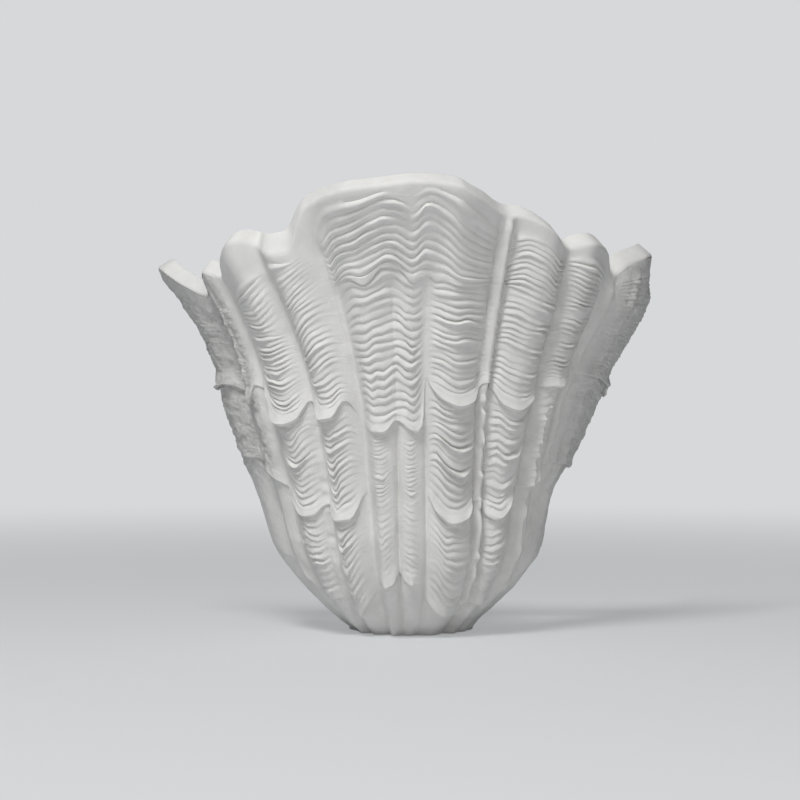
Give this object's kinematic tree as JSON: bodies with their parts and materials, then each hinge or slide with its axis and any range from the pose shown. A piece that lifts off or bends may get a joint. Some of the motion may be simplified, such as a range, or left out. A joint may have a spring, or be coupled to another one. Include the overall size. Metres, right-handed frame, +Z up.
{
  "type": "shell wall sconce",
  "caption": "Wall uplighter: a ribbed clam-shell half-bowl of white plaster hooked on a steel wall plate with an upright lampholder and round bulb.",
  "frame": {"origin": "on the wall plane, at the middle between the two wall screw holes at the wall plate's back face", "axes": "+Z up, the shell's front faces -Y, +Y points into the wall, +X to the right as seen from the front"},
  "size_m": [0.3399, 0.1676, 0.3],
  "materials": {
    "plaster": "matt white cast plaster, sealed",
    "zinc_plated_steel": "zinc-plated pressing",
    "screw_steel": "bright zinc-plated screws",
    "black_rubber": "moulded rubber",
    "brass": "turned brass",
    "contact_brass": "pressed brass strip",
    "white_holder": "moulded heat-proof plastic",
    "glazed_core": "glazed steatite",
    "nylon_block": "natural nylon",
    "tinned_tag": "tinned copper tag",
    "brown_lead": "brown lead insulation",
    "blue_lead": "blue lead insulation",
    "green_yellow_lead": "green and yellow lead insulation",
    "opal_globe": "opal diffuser, lit warm white",
    "bulb_housing": "white housing",
    "bulb_cap_metal": "rolled aluminium cap",
    "bulb_insulator_glass": "black insulating glass",
    "solder": "solder button"
  },
  "bodies": {
    "bracket": {"wall_plate": "zinc_plated_steel", "cable_grommet": "black_rubber", "lamp_arm": "zinc_plated_steel", "arm_bolts": "screw_steel", "arm_nuts": "screw_steel", "holder_nipple": "brass", "nipple_nut": "brass", "holder_cap": "white_holder", "holder_body": "white_holder", "holder_core": "glazed_core", "side_contact": "contact_brass", "centre_contact": "contact_brass", "terminal_block": "nylon_block", "terminal_tubes": "brass", "terminal_screws": "screw_steel", "block_screws": "screw_steel", "earth_screw": "brass", "earth_washer": "brass", "earth_tag": "tinned_tag", "lead_live": "brown_lead", "lead_neutral": "blue_lead", "lead_earth": "green_yellow_lead"},
    "shell": {"plaster_shell": "plaster", "hanger_right": "zinc_plated_steel", "hanger_left": "zinc_plated_steel", "hanger_screws": "screw_steel"},
    "bulb": {"bulb_globe": "opal_globe", "bulb_collar": "bulb_housing", "bulb_cap": "bulb_cap_metal", "bulb_insulator": "bulb_insulator_glass", "bulb_contact": "solder"}
  },
  "joints": [
    {"name": "shell_lift", "type": "slide", "parent": "bracket", "child": "shell", "axis": [0, 0, 1], "range_m": [0, 0.014]},
    {"name": "bulb_unscrew", "type": "slide", "parent": "bracket", "child": "bulb", "axis": [0, 0, 1], "range_m": [0, 0.03]}
  ]
}
